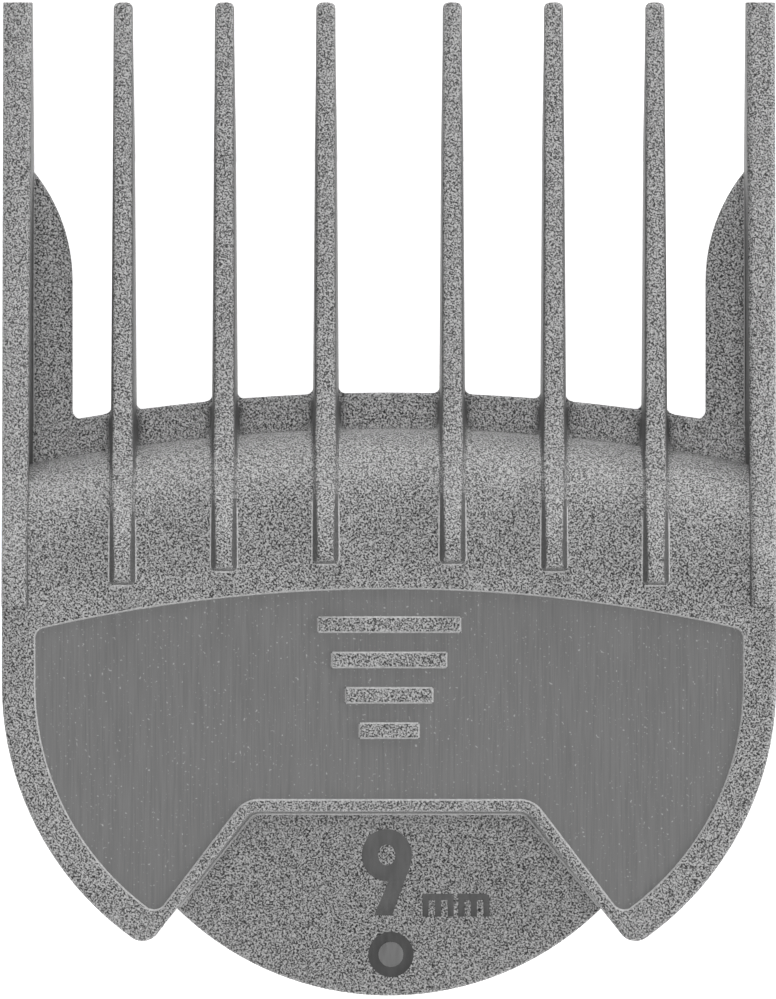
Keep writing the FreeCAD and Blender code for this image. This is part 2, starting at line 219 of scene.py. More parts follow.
def finish_piece(bm, name, nodes, materials):
    """Make the object. bm is in millimetres, and its place is in its mesh."""
    open_edges = sum(1 for edge in bm.edges if len(edge.link_faces) != 2)
    bmesh.ops.transform(bm, matrix=Matrix.Scale(MM, 4), verts=bm.verts)
    mesh = bpy.data.meshes.new(name)
    bm.to_mesh(mesh)
    bm.free()
    for polygon in mesh.polygons:
        polygon.use_smooth = True
    mesh.set_sharp_from_angle(angle=CORNER)
    for material in materials:
        mesh.materials.append(material)
    piece = bpy.data.objects.new(name, mesh)
    bpy.context.scene.collection.objects.link(piece)
    # Large faces stay flat and small roundings blend between them.
    weighted = piece.modifiers.new("weighted", "WEIGHTED_NORMAL")
    weighted.mode = "FACE_AREA"
    weighted.weight = 100
    weighted.keep_sharp = True
    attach(piece, BODY)
    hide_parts(*nodes)
    print(f"{name}: {len(mesh.polygons)} faces, {open_edges} open edges")
    return piece


def closed_ring(bm, places):
    """Points joined in order into a ring; returns the points and the edges."""
    verts = [bm.verts.new(place) for place in places]
    return verts, [bm.edges.new((a, b)) for a, b in zip(verts, verts[1:] + verts[:1])]


def prism(bm, corners, low_z, high_z):
    """A prism over a closed outline whose corners are given in order."""
    base = bm.faces.new([bm.verts.new((x, y, low_z)) for x, y in corners])
    made = bmesh.ops.extrude_face_region(bm, geom=[base])
    lifted = [g for g in made["geom"] if isinstance(g, bmesh.types.BMVert)]
    bmesh.ops.translate(bm, verts=lifted, vec=(0, 0, high_z - low_z))


# %% [markdown]
# ## Softened regions
# Walls, wings and the cover already have the right shape, with edges that are too sharp. A copy of
# the region is merged, its flat faces are joined and its free edges are bevelled. An edge that touches
# a neighbouring region is a join inside one moulding, not a corner, so it stays as it is. A search
# tree over all the other regions tells the two apart.

# %% Find free edges and round them
TOUCHING = 0.03


def region_copy(node):
    """A merged copy of one region, in millimetres, with its flat faces joined."""
    bm = bmesh.new()
    bm.from_mesh(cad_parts[node].data)
    bmesh.ops.transform(bm, matrix=Matrix.Scale(1 / MM, 4), verts=bm.verts)
    bmesh.ops.remove_doubles(bm, verts=bm.verts, dist=0.002)
    bmesh.ops.dissolve_limit(bm, angle_limit=math.radians(0.6), verts=bm.verts, edges=bm.edges)
    return bm


def neighbours_of(node):
    """A search tree over every other region."""
    others = bmesh.new()
    for name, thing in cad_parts.items():
        if name != node:
            others.from_mesh(thing.data)
    bmesh.ops.transform(others, matrix=Matrix.Scale(1 / MM, 4), verts=others.verts)
    tree = BVHTree.FromBMesh(others)
    others.free()
    return tree


def free_edges(bm, tree):
    """Outward corners that touch no other region."""
    edges = []
    for edge in bm.edges:
        if len(edge.link_faces) != 2 or edge.calc_face_angle(0) < CORNER or not edge.is_convex:
            continue
        middle = (edge.verts[0].co + edge.verts[1].co) / 2
        if tree.find_nearest(middle)[3] > TOUCHING:
            edges.append(edge)
    return edges


def bevel(bm, edges, radius, segments=3):
    bmesh.ops.bevel(
        bm, geom=edges, offset=radius, segments=segments, profile=0.5, affect="EDGES",
        clamp_overlap=True, material=-1,
    )


def soften(node, radius, materials=None, lean=None):
    """A region with its free corners rounded, and its outer face leaning if lean is given."""
    bm = region_copy(node)
    bevel(bm, free_edges(bm, neighbours_of(node)), radius)
    if lean:
        # A line at the tab's top lets the wall's underside stay where it is.
        geometry = bm.verts[:] + bm.edges[:] + bm.faces[:]
        bmesh.ops.bisect_plane(bm, geom=geometry, plane_co=(0, 0, tab_high.z), plane_no=(0, 0, 1))
        for vert in bm.verts:
            vert.co += lean(vert.co)
    return finish_piece(bm, f"{node}_moulded", [node], materials or [NYLON])


# %% Walls, wings, bosses and magnets
EDGE_ROUND = 0.22
MAGNET_ROUND = 0.25
for wall in ("side_wall", "corner_wall", "magnet_boss"):
    for side in ("left", "right"):
        soften(f"{side}_{wall}", EDGE_ROUND)
for side in ("left", "right"):
    soften(f"{side}_wing", EDGE_ROUND)
    soften(f"{side}_magnet", MAGNET_ROUND, [NICKEL])

# %% [markdown]
# ## Bay over the tab
# The three walls of the bay lean back a little towards the cover, so that the moulding slides out of
# its tool. Their foot meets the tab in a small fillet. The fillet is one section swept along the line
# of the walls: the left diagonal, a rounded corner, the step, a rounded corner and the right diagonal.

# %% The line of the bay
ON_LINE = 0.04
BAY_ANGLE = math.radians(37.4)
BAY_HALF = 9.0
BAY_ROUND = 1.0
LEAN = 0.2
TAB_SWEEP = 19.7
BAY_WALL = 1.6
bay_y = box_mm("rear_step_wall")[1].y - BAY_WALL
print("bay line", round(bay_y, 2))
tab_centre = Vector((0, tab_low.y + TAB_SWEEP))
round_at = Vector((BAY_HALF - BAY_ROUND * math.tan((math.pi / 2 - BAY_ANGLE) / 2), bay_y - BAY_ROUND))
diagonal_at = round_at + BAY_ROUND * Vector((math.cos(BAY_ANGLE), math.sin(BAY_ANGLE)))
down = Vector((math.sin(BAY_ANGLE), -math.cos(BAY_ANGLE)))
ear_length = (diagonal_at.y - box_mm("right_diagonal_wall")[0].y) / math.cos(BAY_ANGLE)


def reach_tab_edge():
    """How far down the diagonal the tab's round edge is."""
    start = diagonal_at - tab_centre
    along = start.dot(down)
    return -along + math.sqrt(along ** 2 - start.length_squared + TAB_SWEEP ** 2)


def bay_line(steps=10):
    """Places and directions towards the tab, from the step's middle to the right diagonal's end."""
    line = [(Vector((0, bay_y)), Vector((0, -1)), 1.0)]
    for step in range(steps + 1):
        angle = math.pi / 2 - (math.pi / 2 - BAY_ANGLE) * step / steps
        out = Vector((math.cos(angle), math.sin(angle)))
        line.append((round_at + BAY_ROUND * out, -out, 1.0))
    out = Vector((math.cos(BAY_ANGLE), math.sin(BAY_ANGLE)))
    for share in (0.25, 0.5, 0.75, 1.0):
        length = (reach_tab_edge() - 0.15) * share
        line.append((diagonal_at + down * length, -out, 1 - length / ear_length))
    return line


def bay_normal(flat):
    """The direction away from the bay, and the distance from its line, for a place with x >= 0."""
    if flat.x <= round_at.x:
        return Vector((0, 1)), flat.y - bay_y
    if (flat - round_at).dot(down) <= 0:
        away = flat - round_at
        return away.normalized(), away.length - BAY_ROUND
    away = Vector((-down.y, down.x))
    return away, (flat - diagonal_at).dot(away)


def lean_foot(place):
    """The shift that makes the bay's walls lean, for one corner of a wall."""
    flat = Vector((abs(place.x), place.y))
    away, distance = bay_normal(flat)
    if place.z > cover_low.z - 0.05 or abs(distance) > ON_LINE:
        return Vector((0, 0, 0))
    sign = 1 if place.x > 0 else -1
    drop = (cover_low.z - place.z) / (cover_low.z - tab_high.z)
    if place.z < tab_high.z:
        drop = (place.z - tab_low.z) / (tab_high.z - tab_low.z)
    weight = min(1.0, max(0.0, 1 - (flat - diagonal_at).dot(down) / ear_length))
    return Vector((-sign * away.x, -away.y, 0)) * LEAN * drop * weight


# %% Bay walls and the fillet at their foot
soften("rear_step_wall", EDGE_ROUND, lean=lean_foot)
soften("left_diagonal_wall", EDGE_ROUND, lean=lean_foot)
soften("right_diagonal_wall", EDGE_ROUND, lean=lean_foot)
FOOT_FILLET = 0.32
# How far the fillet's hidden sides reach into the wall and into the tab.
INTO_WALL, INTO_TAB = 0.12, 0.1


def foot_section(place, towards, weight):
    """One closed section of the fillet, in the upright plane through place."""
    foot = place + towards * LEAN * weight
    outline = [(-INTO_WALL, -INTO_TAB), (FOOT_FILLET, -INTO_TAB)]
    for degrees in range(0, 91, 18):
        angle = math.radians(degrees)
        outline.append((FOOT_FILLET * (1 - math.sin(angle)), FOOT_FILLET * (1 - math.cos(angle))))
    outline.append((-INTO_WALL, FOOT_FILLET))
    return [(*(foot + towards * out), tab_high.z + up) for out, up in outline]


right_half = bay_line()
left_half = [
    (Vector((-place.x, place.y)), Vector((-towards.x, towards.y)), weight)
    for place, towards, weight in reversed(right_half[1:])
]
fillet = bmesh.new()
loops = [closed_ring(fillet, foot_section(*station))[1] for station in left_half + right_half]
for first_loop, second_loop in zip(loops, loops[1:]):
    bmesh.ops.bridge_loops(fillet, edges=first_loop + second_loop)
bmesh.ops.holes_fill(fillet, edges=loops[0] + loops[-1])
bmesh.ops.recalc_face_normals(fillet, faces=fillet.faces)
fillet.normal_update()
# Fillet faces that slope half way up take the lighter material, a painted highlight.
for face in fillet.faces:
    if 0.35 < face.normal.z < 0.85:
        face.material_index = 1
finish_piece(fillet, "bay_fillet", ["number_tab"], [NYLON, PAINTED_HIGHLIGHT])

# %% [markdown]
# ## Cover
# The cover carries the shallow panel and its plain raised bars. Its outer rim has a larger rounding
# than the panel's lip, so the two are bevelled one after the other. The floor of the panel then
# gets the satin finish, picked out by its height.

# %% Cover with its panel
PANEL_DEPTH = 0.25
COVER_ROUND = 0.3
LIP_WIDTH = 0.11
PANEL_CORNER = 0.5
PANEL_RIM = 0.58
EXTRA_RIM = 0.24
# Past this distance down the diagonal the panel's own corner begins.
PANEL_TURN = 3
TURN_BACK = 0.9
OUTSIDE_RIM = 0.35
panel_floor_z = cover_high.z - PANEL_DEPTH


def paint(bm, index, chosen):
    """Give faces that look up, and pass the test, another material."""
    count = 0
    for face in bm.faces:
        if face.normal.z > 0.9 and chosen(face.calc_center_median()):
            face.material_index = index
            count += 1
    print("painted", count, "faces")


def widen_rim(vert):
    """Moves the panel's edge along the bay away from it, so that the rim there is wider."""
    flat = Vector((abs(vert.co.x), vert.co.y))
    away, distance = bay_normal(flat)
    if vert.co.z < panel_floor_z - 0.01 or abs(distance - PANEL_RIM) > ON_LINE:
        return
    if (flat - diagonal_at).dot(down) > PANEL_TURN:
        away = away - down * TURN_BACK
    vert.co.x += (1 if vert.co.x > 0 else -1) * away.x * EXTRA_RIM
    vert.co.y += away.y * EXTRA_RIM


def is_panel_corner(edge):
    """True on the hollow upright corners of the panel."""
    low_z, high_z = sorted(vert.co.z for vert in edge.verts)
    in_recess = low_z > panel_floor_z - 0.02 and high_z - low_z > 0.2
    return in_recess and not edge.is_convex and edge.calc_face_angle(0) > math.radians(20)


def is_on_lip(edge):
    """True on the lip of the panel and round the bars, and not on the cover's outside."""
    middle = (edge.verts[0].co + edge.verts[1].co) / 2
    if abs(middle.x) > cover_high.x - OUTSIDE_RIM:
        return False
    nearby = [face for side in edge.link_faces for other in side.edges for face in other.link_faces]
    return any(abs(face.calc_center_median().z - panel_floor_z) < 0.01 for face in nearby)


cover = region_copy("cover_plate")
for vert in cover.verts:
    widen_rim(vert)
panel_corners = [edge for edge in cover.edges if is_panel_corner(edge)]
print("panel corners", len(panel_corners))
bevel(cover, panel_corners, PANEL_CORNER, 5)

# %% Round the cover and paint the panel
every = free_edges(cover, neighbours_of("cover_plate"))
lip = [edge for edge in every if is_on_lip(edge)]
bevel(cover, [edge for edge in every if edge not in lip], COVER_ROUND, 4)
bevel(cover, [edge for edge in lip if edge.is_valid], LIP_WIDTH, 1)
cover.normal_update()
paint(cover, 1, lambda place: abs(place.z - panel_floor_z) < 0.02)
# The sloping faces of the panel's lip take the lighter material, a painted highlight.
for face in cover.faces:
    if 0.6 < face.normal.z < 0.8 and face.calc_center_median().z > panel_floor_z:
        face.material_index = 2
finish_piece(cover, "cover_moulded", ["cover_plate"], [NYLON, SATIN, PAINTED_HIGHLIGHT])

# %% [markdown]
# ## Front wall and band
# The front of the comb is a body of revolution with a very large radius: one side view swept along a
# shallow arc. A spin does exactly that, and lets the bend, the crease and the band be one smooth
# skin. Two cuts then trim it to the width between the outer teeth.

# %% Sweep the front
BAND_SWEEP = 122.0
BAND_DEPTH = 2.4
BEND_RADIUS = 5.1
WALL = 1.6
CREASE_ROUND = 0.45
sweep_centre = band_high.y - BAND_SWEEP
wall_r = BAND_SWEEP - BAND_DEPTH
bend_z = cover_high.z - BEND_RADIUS
inner_half = box_mm("front_wall")[1].x
INTO_TOOTH = 0.45


def arc(centre_r, centre_z, radius, start, end, steps):
    """Points of an arc in the side view, angles in degrees."""
    points = []
    for step in range(steps + 1):
        angle = math.radians(start + (end - start) * step / steps)
        points.append((centre_r + radius * math.cos(angle), centre_z + radius * math.sin(angle)))
    return points


bend_r = wall_r - BEND_RADIUS
soft = EDGE_ROUND
section = arc(bend_r, bend_z, BEND_RADIUS, 90, 0, 20)
section += arc(wall_r + CREASE_ROUND, band_high.z + CREASE_ROUND, CREASE_ROUND, 180, 270, 6)
section += arc(BAND_SWEEP - soft, band_high.z - soft, soft, 90, 0, 4)
section += arc(BAND_SWEEP - soft, band_low.z + soft, soft, 0, -90, 4)
section += [(wall_r - WALL, band_low.z)]
section += arc(bend_r, bend_z, BEND_RADIUS - WALL, 0, 90, 14)

front = bmesh.new()
reach = math.asin(inner_half / bend_r) * 1.08
turned = Matrix.Rotation(-reach, 4, "Z")
centre = Vector((0, sweep_centre, 0))
ring, rim = closed_ring(front, [centre + turned @ Vector((0, r, z)) for r, z in section])
bmesh.ops.spin(front, geom=ring + rim, cent=centre, axis=(0, 0, 1), angle=2 * reach, steps=72)
for side in (-1, 1):
    bmesh.ops.bisect_plane(
        front, geom=front.verts[:] + front.edges[:] + front.faces[:], clear_outer=True,
        plane_co=(side * (inner_half + INTO_TOOTH), 0, 0), plane_no=(side, 0, 0),
    )
bmesh.ops.remove_doubles(front, verts=front.verts, dist=0.001)
bmesh.ops.holes_fill(front, edges=[e for e in front.edges if e.is_boundary])
bmesh.ops.recalc_face_normals(front, faces=front.faces)
finish_piece(front, "front_moulded", ["front_wall", "front_band"], [NYLON])

# %% [markdown]
# ## Inner teeth
# A tooth is a thin tapered blade. Its crest is flat over the cover, bends down and then runs
# straight to the tip, and its foot follows the cover, the bend, the wall and the band before it
# stands free. Each tooth starts as one ring of points at its root. The ring is extruded from
# station to station along the foot. Over the cover the flanks lean and end in a small fillet, at the
# wall they flare, and where the foot is free the same points close it with a rounded corner. The
# flanks have to lean to leave the mould, so the flare and the crest's rounding are tall and narrow.

# %% The side view of a tooth
RIDGE_RISE = 2.5
BEND_ANGLE, TIP_ANGLE = math.radians(31), math.radians(12)
BEND_SLOPE, TIP_SLOPE = math.tan(BEND_ANGLE), math.tan(TIP_ANGLE)
CREST_FLAT = 2.0
CUT_LENGTH = 9.0
CUT_Z = 3.7
EDGE_BEHIND_TIP, STOP_BEHIND_TIP = 10.75, 10.35
CREST_ROUND = 6.8
FLOW_ROUND = 20.5
TIP_DEPTH = 2.2
STOP_DROP = 0.8
tip_y = box_mm("tooth_4")[1].y
ridge_z = cover_high.z + RIDGE_RISE
# The crest stands the cutting length away from the blade's edge, at right angles to itself.
tip_crest_z = CUT_Z + CUT_LENGTH / math.cos(TIP_ANGLE) - EDGE_BEHIND_TIP * TIP_SLOPE
stop_y = tip_y - STOP_BEHIND_TIP
bend_y = band_high.y - BAND_DEPTH - BEND_RADIUS


def crest_height(y, root_y):
    """Height of the crest: flat, rounded bend, rounded flow, straight slope."""
    bend_at = root_y + CREST_FLAT
    rise = ridge_z + bend_at * BEND_SLOPE - tip_crest_z - tip_y * TIP_SLOPE
    flow_at = rise / (BEND_SLOPE - TIP_SLOPE)
    slope = tip_crest_z + (tip_y - y) * TIP_SLOPE
    steep = ridge_z - (y - bend_at) * BEND_SLOPE
    bend_start = bend_at - CREST_ROUND * math.tan(BEND_ANGLE / 2)
    bend_end = bend_start + CREST_ROUND * math.sin(BEND_ANGLE)
    tangent = FLOW_ROUND * math.tan((BEND_ANGLE - TIP_ANGLE) / 2)
    flow_start = flow_at - tangent * math.cos(BEND_ANGLE)
    flow_end = flow_at + tangent * math.cos(TIP_ANGLE)
    if y <= bend_start:
        return ridge_z
    if y < bend_end:
        return ridge_z - CREST_ROUND + math.sqrt(CREST_ROUND ** 2 - (y - bend_start) ** 2)
    if y < flow_start:
        return steep
    if y < flow_end:
        middle_y = flow_start + FLOW_ROUND * math.sin(BEND_ANGLE)
        middle_z = ridge_z - (flow_start - bend_at) * BEND_SLOPE + FLOW_ROUND * math.cos(BEND_ANGLE)
        return middle_z - math.sqrt(FLOW_ROUND ** 2 - (y - middle_y) ** 2)
    return slope


def room_above(y, z, normal_y, normal_z, root_y):
    """Distance from the foot to the crest, measured along the foot's normal."""
    near, far = 0.0, 12.0
    for _ in range(20):
        middle = (near + far) / 2
        if z + normal_z * middle < crest_height(y + normal_y * middle, root_y):
            near = middle
        else:
            far = middle
    return near


# %% The foot of a tooth
FOOT_OUT, FOOT_UP = 0.50, 1.45
FLARE_GAP, CREST_AHEAD = 0.05, 0.4
ROOT_ROUND = 0.5
BEND_STEPS, FAN_STEPS = 18, 12
WALL_STEPS, WALL_END = 7, 0.5
FREE_FIRST, FREE_STEP = 9.5, 3
# Steps from the stop to the tip, closer together where the tip is rounded.
TIP_STEPS = (0.05, 2.0, 4.0, 6.0, 8.0, 9.4, 9.75, 9.98, 10.15, 10.27, 10.33, 10.35)
# The root end is rounded: places along the tooth, each with its height there.
ROOT_CAPS = ((-0.10, 0.01), (-0.05, 0.03), (0.0, 0.10), (0.10, 1.9), (0.18, 2.25), (0.28, 2.42))


def foot_path(root_y, across):
    """Stations along the foot: (y, z, normal y, normal z, attached, y of the crest above)."""
    fall = BAND_SWEEP - math.sqrt(BAND_SWEEP ** 2 - across ** 2)
    bend_at = bend_y - fall
    wall_y = bend_at + BEND_RADIUS
    # The crest stays ahead of the flare, or the flank lines of neighbouring stations would cross.
    clear_y = wall_y + FOOT_UP + FLARE_GAP
    root_end = root_y + ROOT_ROUND
    over_cover = [root_y + at for at, cap in ROOT_CAPS] + [root_end - 0.08, root_end]
    over_cover += [root_end + (bend_at - root_end) * index / 6 for index in range(1, 6)]
    path = [(y, cover_high.z, 0, 1, 1, y) for y in over_cover]
    for index in range(BEND_STEPS + 1):
        angle = math.radians(90 * index / BEND_STEPS)
        out_y, out_z = math.sin(angle), math.cos(angle)
        y, z = bend_at + BEND_RADIUS * out_y, bend_z + BEND_RADIUS * out_z
        if index <= FAN_STEPS:
            ahead = fan_end = y + out_y * room_above(y, z, out_y, out_z, root_y)
        else:
            share = (index - FAN_STEPS) / (BEND_STEPS - FAN_STEPS)
            ahead = fan_end + (clear_y - fan_end) * share
        path.append((y, z, out_y, out_z, 1, ahead))
    for index in range(1, WALL_STEPS + 1):
        share = index / WALL_STEPS
        z = bend_z + (band_high.z + WALL_END - bend_z) * share
        path.append((wall_y, z, 1, 0, 1, clear_y + CREST_AHEAD * share))
    front_y = band_high.y - fall
    wall_crest = clear_y + CREST_AHEAD
    for share in (0.2, 0.5, 0.8):
        crest_y = wall_crest + (front_y - wall_crest) * share
        path.append((wall_y + (front_y - wall_y) * share, band_high.z, 0, 1, 1, crest_y))
    free = [front_y + 0.05, front_y + 0.5]
    free += [FREE_FIRST + FREE_STEP * index for index in range(4)] + [stop_y - 0.6, stop_y]
    path += [(y, band_low.z, 0, -1, 0, y) for y in free]
    low_z, tip_low = band_low.z - STOP_DROP, tip_crest_z - TIP_DEPTH
    for step in TIP_STEPS:
        z = low_z + (tip_low - low_z) * (step - TIP_STEPS[0]) / (TIP_STEPS[-1] - TIP_STEPS[0])
        path.append((stop_y + step, z, 0, -1, 0, stop_y + step))
    return path


# %% Build one tooth
FLANK_LEAN = 0.15
FLANK_FILLET = 0.09
FLARE_SHARE, CREST_SHARE = 0.55, 0.3
CREST_IN, CREST_IN_TIP, CREST_DOWN = 0.14, 0.27, 0.65
TIP_ROUND = 0.36
DRAFT = math.tan(math.radians(1.0))
CREST_PINCH = 0.05
TIP_HALF, TAPER, TAPER_BEHIND = 0.74, 0.30, 4
THINNEST = 0.06
FREE_ROUND = 0.18
TIP_SPREAD, TIP_SPREAD_OVER = 0.08, 14
KEEP_APART = 0.02
CORNER_STEPS = 4
UPRIGHT = 0.93


def end_shrink(distance, radius):
    """How much narrower a rounded end is at this distance from it."""
    if distance >= radius:
        return 0.0
    return radius - math.sqrt(max(radius ** 2 - (radius - distance) ** 2, 0))


def tooth_half(along, up, root_y):
    """Half the width of a tooth, which tapers to its tip and leans in towards its crest."""
    pinch = CREST_PINCH * max(0.0, (up - cover_high.z) / RIDGE_RISE)
    taper = TAPER * (tip_y - along) / (tip_y - root_y + TAPER_BEHIND)
    return TIP_HALF + taper - DRAFT * up - pinch


def foot_profile(tall, on_top):
    """Outward and upward steps of the foot: a leaning flank over the cover, a flare on the wall."""
    flank = [
        (FLANK_LEAN + FLANK_FILLET, 0.0),
        (FLANK_LEAN + 0.3 * FLANK_FILLET, 0.3 * FLANK_FILLET),
        (FLANK_LEAN, FLANK_FILLET),
        (FLANK_LEAN / 2, (FLANK_FILLET + tall) / 2),
        (0.0, tall),
    ]
    profile = []
    for step, (flank_out, flank_up) in enumerate(flank):
        angle = math.radians(90 * step / CORNER_STEPS)
        flare_out, flare_up = FOOT_OUT * (1 - math.sin(angle)), tall * (1 - math.cos(angle))
        out = on_top * flank_out + (1 - on_top) * flare_out
        profile.append((out, on_top * flank_up + (1 - on_top) * flare_up))
    return profile


def tooth_ring(station, centre_x, root_y):
    """One ring of points, from the left foot over the crest to the right foot."""
    y, z, normal_y, normal_z, attached, crest_y = station
    top = crest_height(crest_y, root_y)
    root_cap = min((cap for at, cap in ROOT_CAPS if y < root_y + at + 1e-6), default=RIDGE_RISE)
    capped = root_cap < RIDGE_RISE
    top = min(top, cover_high.z + root_cap)
    from_root = max(y - root_y - ROOT_CAPS[0][0], 0.02)
    shrink = end_shrink(tip_y - y, TIP_ROUND) + end_shrink(from_root, ROOT_ROUND)
    room = room_above(y, z, normal_y, normal_z, root_y) if attached else FOOT_UP / FLARE_SHARE
    on_top = max(0.0, min(1.0, (z - bend_z) / BEND_RADIUS))
    profile = foot_profile(min(FOOT_UP, FLARE_SHARE * room), on_top)
    crest_down = min(CREST_DOWN, CREST_SHARE * room)

    def half(along, up):
        return max(tooth_half(along, up, root_y) - shrink, THINNEST)

    wall_y = bend_y + BEND_RADIUS - BAND_SWEEP + math.sqrt(BAND_SWEEP ** 2 - centre_x ** 2)
    side = []
    for step in range(CORNER_STEPS + 1):
        angle = math.radians(90 * step / CORNER_STEPS)
        if attached:
            out, up = profile[step]
            place_y, place_z = y + normal_y * up, z + normal_z * up
            # In the corner between wall and band the two flares must not cross.
            if normal_y > 0.99:
                place_z = max(z, band_high.z + up + KEEP_APART * (z - band_high.z))
            if z == band_high.z:
                place_y = max(y, wall_y + up + KEEP_APART * (y - wall_y))
            if capped:
                place_z = min(place_z, top)
            side.append((half(place_y, place_z) + out, place_y, place_z))
        else:
            inward = FREE_ROUND * (1 - math.sin(angle))
            up = FREE_ROUND * (1 - math.cos(angle))
            side.append((half(y, z) - inward, y, z + up))
    share = min(1.0, (crest_y - root_y) / TIP_SPREAD_OVER)
    crest_half = half(crest_y, top)
    inset = min(CREST_IN + (CREST_IN_TIP - CREST_IN) * share, 0.6 * crest_half)
    for step in range(CORNER_STEPS + 1):
        angle = math.radians(90 * step / CORNER_STEPS)
        across = crest_half + TIP_SPREAD * share - inset * (1 - math.cos(angle))
        lower = 0 if capped else crest_down * (1 - math.sin(angle))
        side.append((across, crest_y, top - lower))
    left = [Vector((centre_x - x, py, pz)) for x, py, pz in side]
    right = [Vector((centre_x + x, py, pz)) for x, py, pz in reversed(side)]
    return left + right


def smooth_flanks(bm, centre_x, root_y):
    """Gives upright flanks the smoother finish with painted shade, and the foot over the cover a line
    of painted highlight.
    """
    bm.normal_update()
    for face in bm.faces:
        middle = face.calc_center_median()
        beyond = abs(middle.x - centre_x) - tooth_half(middle.y, middle.z, root_y)
        on_fillet = beyond > FLANK_LEAN and middle.z < cover_high.z + FLANK_FILLET
        # The fillet over the cover and the root end get a painted highlight.
        if middle.z > cover_high.z - 0.02 and (on_fillet or middle.y < root_y):
            face.material_index = 2
        # Upright flanks get the drawn finish with painted shade.
        elif abs(face.normal.x) > UPRIGHT:
            face.material_index = 1


def inner_tooth(node):
    low, high = box_mm(node)
    centre_x, root_y = (low.x + high.x) / 2, low.y
    stations = foot_path(root_y, centre_x)
    bm = bmesh.new()
    row, edges = closed_ring(bm, tooth_ring(stations[0], centre_x, root_y))
    for station in stations[1:]:
        made = bmesh.ops.extrude_edge_only(bm, edges=edges)["geom"]
        fresh = {part for part in made if isinstance(part, bmesh.types.BMVert)}
        edges = [
            part for part in made
            if isinstance(part, bmesh.types.BMEdge) and set(part.verts) <= fresh
        ]
        # The new points come in no fixed order, so each one is matched to the point below it.
        place_of = {vert: index for index, vert in enumerate(row)}
        row = [None] * len(row)
        for vert in fresh:
            linked = (edge.other_vert(vert) for edge in vert.link_edges)
            row[next(place_of[other] for other in linked if other in place_of)] = vert
        for vert, place in zip(row, tooth_ring(station, centre_x, root_y)):
            vert.co = place
    bmesh.ops.holes_fill(bm, edges=[edge for edge in bm.edges if edge.is_boundary])
    bmesh.ops.recalc_face_normals(bm, faces=bm.faces)
    smooth_flanks(bm, centre_x, root_y)
    return finish_piece(bm, f"{node}_moulded", [node], [NYLON, DRAWN_PAINTED_SHADE, PAINTED_HIGHLIGHT])


for number in range(2, 8):
    inner_tooth(f"tooth_{number}")

# %% [markdown]
# ## Corners between teeth and band
# Seen from above, each tooth and each wing meets the front of the band in a small rounded corner,
# where stress would otherwise start a crack. Each one is a thin prism with a hollow side.

# %% Corner fillets
TOOTH_CORNER = 0.45
WING_CORNER = 0.55
ARC_STEPS = 8
# The prism's hidden sides reach into the tooth and into the band.
INTO_SIDE, INTO_BAND = 0.15, 0.3
BELOW_TOP, ABOVE_LOW = 0.06, 0.03


def add_corner(bm, side_x, sign, radius, top_z):
    """A prism between the side at side_x and the band, hollow towards the free corner."""
    front_y = sweep_centre + math.sqrt(BAND_SWEEP ** 2 - (side_x + sign * radius / 2) ** 2)
    inside_x = side_x - sign * INTO_SIDE
    corners = [(inside_x, front_y - INTO_BAND), (inside_x, front_y + radius)]
    for step in range(ARC_STEPS + 1):
        angle = math.radians(90 * step / ARC_STEPS)
        x = side_x + sign * radius * (1 - math.cos(angle))
        corners.append((x, front_y + radius * (1 - math.sin(angle))))
    corners.append((side_x + sign * radius, front_y - INTO_BAND))
    prism(bm, corners, band_low.z + ABOVE_LOW, top_z - BELOW_TOP)


corners_bm = bmesh.new()
for number in range(2, 8):
    low, high = box_mm(f"tooth_{number}")
    middle_x = (low.x + high.x) / 2
    for sign in (-1, 1):
        flank = middle_x + sign * tooth_half(band_high.y, band_high.z, low.y)
        add_corner(corners_bm, flank, sign, TOOTH_CORNER, band_high.z)
wing_high = box_mm("left_wing")[1]
for sign in (1, -1):
    add_corner(corners_bm, sign * wing_high.x, sign, WING_CORNER, wing_high.z)
bmesh.ops.recalc_face_normals(corners_bm, faces=corners_bm.faces)
finish_piece(corners_bm, "front_corner_fillets", ["front_band"], [NYLON])

# %% [markdown]
# ## Outer teeth
# The two end teeth are also the comb's sides. They are softened copies whose inner face leans
# outwards a little towards the crest, which is the draft that lets them leave the mould.

# %% Outer teeth
OUTER_DRAFT = 0.024
OUTER_CREST = 0.42
INNER_FACE = 0.9


def outer_tooth(node):
    bm = region_copy(node)
    every = free_edges(bm, neighbours_of(node))
    crest = [
        edge for edge in every
        if max(face.normal.z for face in edge.link_faces) > 0.5
        and max(abs(face.normal.x) for face in edge.link_faces) > 0.9
    ]
    rest = [edge for edge in every if edge not in crest]
    bevel(bm, crest, OUTER_CREST, 5)
    bevel(bm, [edge for edge in rest if edge.is_valid], EDGE_ROUND, 3)
    sign = 1 if box_mm(node)[1].x > 0 else -1
    leaning_from = band_high.z
    for vert in bm.verts:
        if abs(vert.co.x) < inner_half + INNER_FACE and vert.co.z > leaning_from:
            vert.co.x += sign * OUTER_DRAFT * (vert.co.z - leaning_from)
    bm.normal_update()
    # The inner face gets the drawn finish, whose darker colour is painted shade.
    for face in bm.faces:
        if -sign * face.normal.x > UPRIGHT:
            face.material_index = 1
    return finish_piece(bm, f"{node}_moulded", [node], [NYLON, DRAWN_PAINTED_SHADE])


outer_tooth("tooth_1")
outer_tooth("tooth_8")

# %% [markdown]
# ## Number tab
# The tab says which cutting length the comb gives. The figure, its unit and a small ring are sunk
# into it. Each mark is a solid that is taken away from the tab, and the floors that are left get the
# smoother, darker finish of a polished mould face.

# %% Cutters for the marks
MARK_DEPTH = 0.22
MARK_OVER = 1.0
mark_top = tab_high.z + MARK_OVER
mark_floor_z = tab_high.z - MARK_DEPTH


def scratch_object(bm, name):
    """A passing object for the boolean cuts."""
    mesh = bpy.data.meshes.new(name)
    bm.to_mesh(mesh)
    bm.free()
    thing = bpy.data.objects.new(name, mesh)
    bpy.context.scene.collection.objects.link(thing)
    return thing


